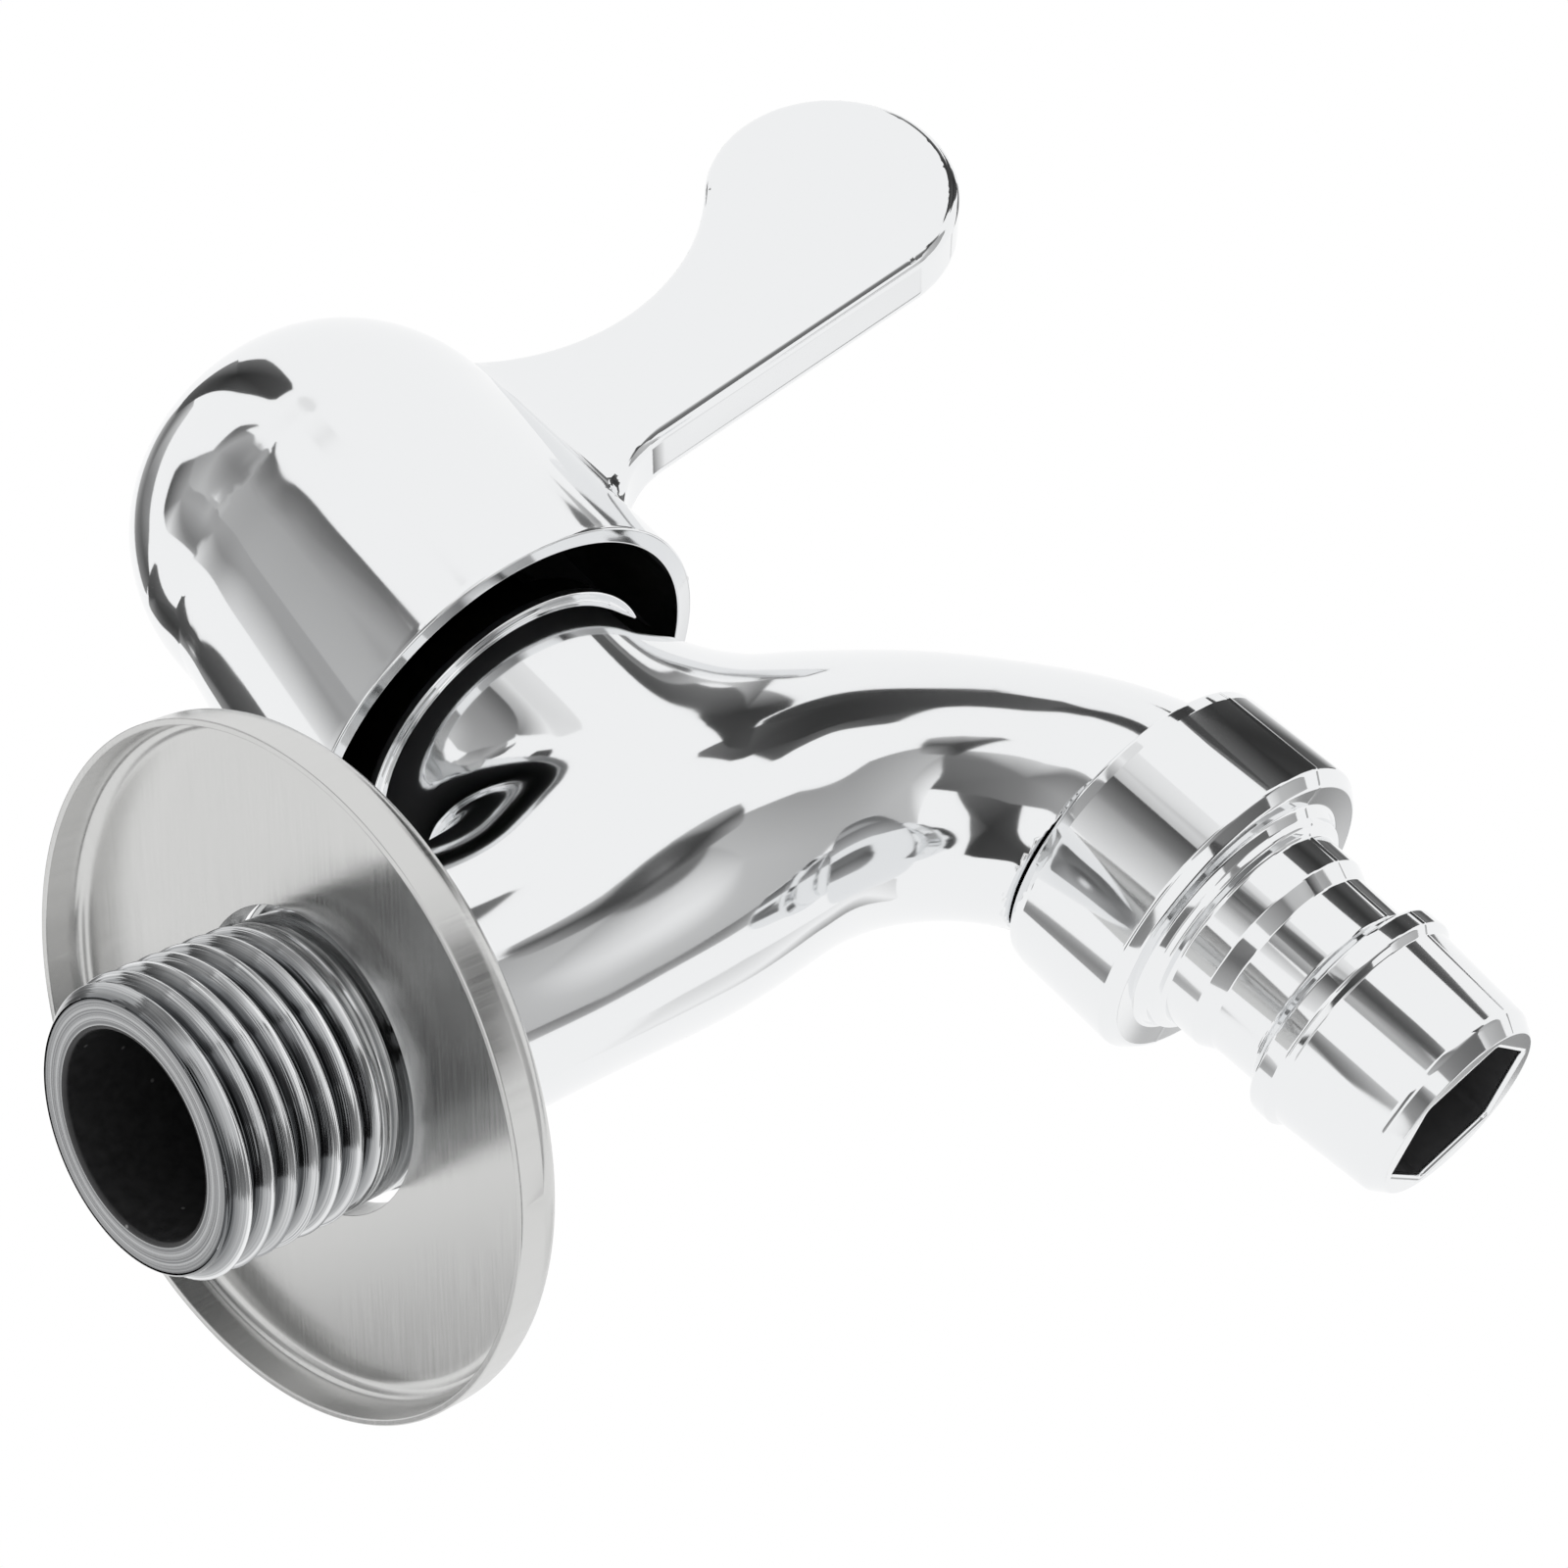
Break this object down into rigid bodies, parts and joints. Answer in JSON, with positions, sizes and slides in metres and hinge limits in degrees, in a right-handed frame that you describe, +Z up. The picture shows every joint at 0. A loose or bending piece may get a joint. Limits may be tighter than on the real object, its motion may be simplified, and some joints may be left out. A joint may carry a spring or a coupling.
{
  "type": "garden tap",
  "caption": "Wall-mounted garden tap with a quarter-turn lever handle, a curved spout, a push-fit hose nozzle and a loose cover flange over the threaded inlet.",
  "frame": {"origin": "centre of the cover flange's open rim, on the inlet axis, in the plane of the finished wall", "axes": "+X out of the wall along the inlet towards the spout, +Z up along the valve axis, +Y completes the right-handed frame"},
  "size_m": [0.1099, 0.0513, 0.1042],
  "materials": {
    "plated_casting": "bright chrome plate over a die casting",
    "plated_moulding": "bright chrome plate over a moulding",
    "pressed_sheet": "thin pressed stainless sheet, polished outside, brushed inside",
    "turned_brass": "turned brass, bare",
    "black_rubber": "moulded rubber",
    "white_ceramic": "lapped ceramic",
    "pale_nylon": "moulded nylon",
    "zinc_steel": "bright steel"
  },
  "bodies": {
    "tap": {"tap_body": "plated_casting", "hose_nozzle": "plated_moulding", "nozzle_washer": "black_rubber", "cartridge_housing": "turned_brass", "housing_seal": "black_rubber", "seat_seal": "black_rubber", "seal_support_ring": "pale_nylon", "fixed_disc": "white_ceramic", "glide_washer": "pale_nylon"},
    "lever": {"handle": "plated_casting", "handle_plug": "plated_moulding", "handle_screw": "zinc_steel", "screw_washer": "zinc_steel", "spline_adapter": "pale_nylon", "spindle": "turned_brass", "spindle_circlip": "zinc_steel", "lower_spindle_ring": "black_rubber", "upper_spindle_ring": "black_rubber", "moving_disc": "white_ceramic"},
    "flange": {"wall_flange": "pressed_sheet"}
  },
  "joints": [
    {"name": "lever_turn", "type": "hinge", "parent": "tap", "child": "lever", "pos_m": [0.0384, 0, 0.02], "axis": [0, 0, 1], "range_deg": [-68, 22]},
    {"name": "flange_slide", "type": "slide", "parent": "tap", "child": "flange", "axis": [1, 0, 0], "range_m": [-0.009, 0.0003]}
  ]
}
